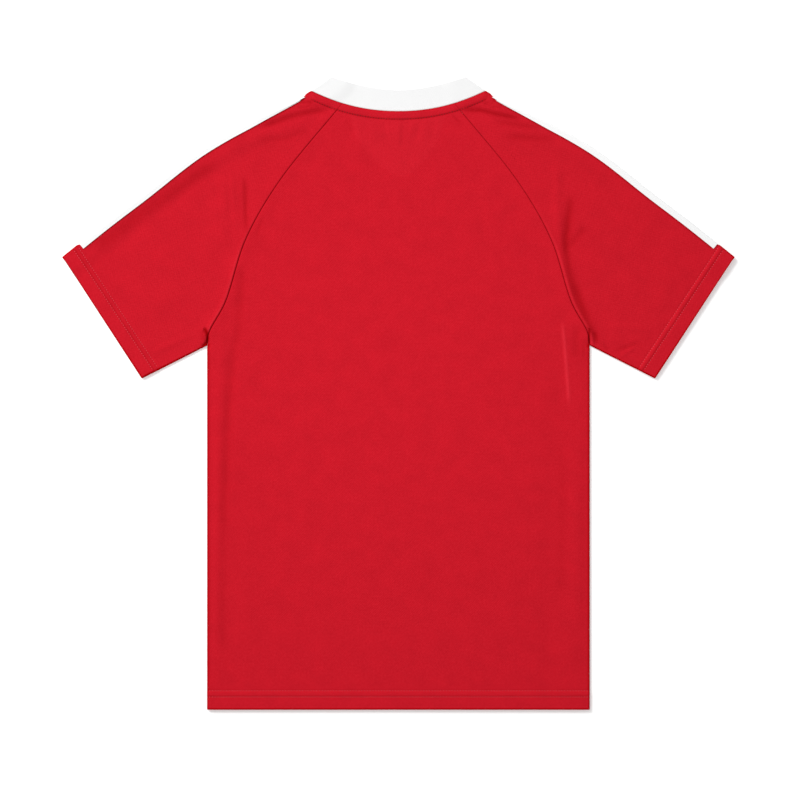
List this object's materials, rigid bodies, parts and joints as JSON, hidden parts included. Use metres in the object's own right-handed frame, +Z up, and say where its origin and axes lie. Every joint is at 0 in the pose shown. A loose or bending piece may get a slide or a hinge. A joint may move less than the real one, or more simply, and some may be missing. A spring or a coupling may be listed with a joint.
{
  "type": "football jersey",
  "caption": "Short-sleeved football jersey with raglan sleeves and a rib V-neck collar, laid flat with its back up.",
  "frame": {"origin": "on the surface that the jersey lies on, under the middle of its outline", "axes": "+Z up from the surface, out of the jersey's back; +Y from the hem to the collar; +X across the chest, to the wearer's right sleeve"},
  "size_m": [0.793, 0.7462, 0.0063],
  "materials": {
    "jersey_red": "matt interlock polyester knit",
    "rib_white": "matt rib knit",
    "band_white": "smooth knitted tape"
  },
  "bodies": {
    "root": {"back_panel": "jersey_red", "front_panel": "jersey_red", "sleeve_left": "jersey_red", "sleeve_right": "jersey_red", "collar": "rib_white", "shoulder_band_left": "band_white", "shoulder_band_right": "band_white"}
  },
  "joints": []
}
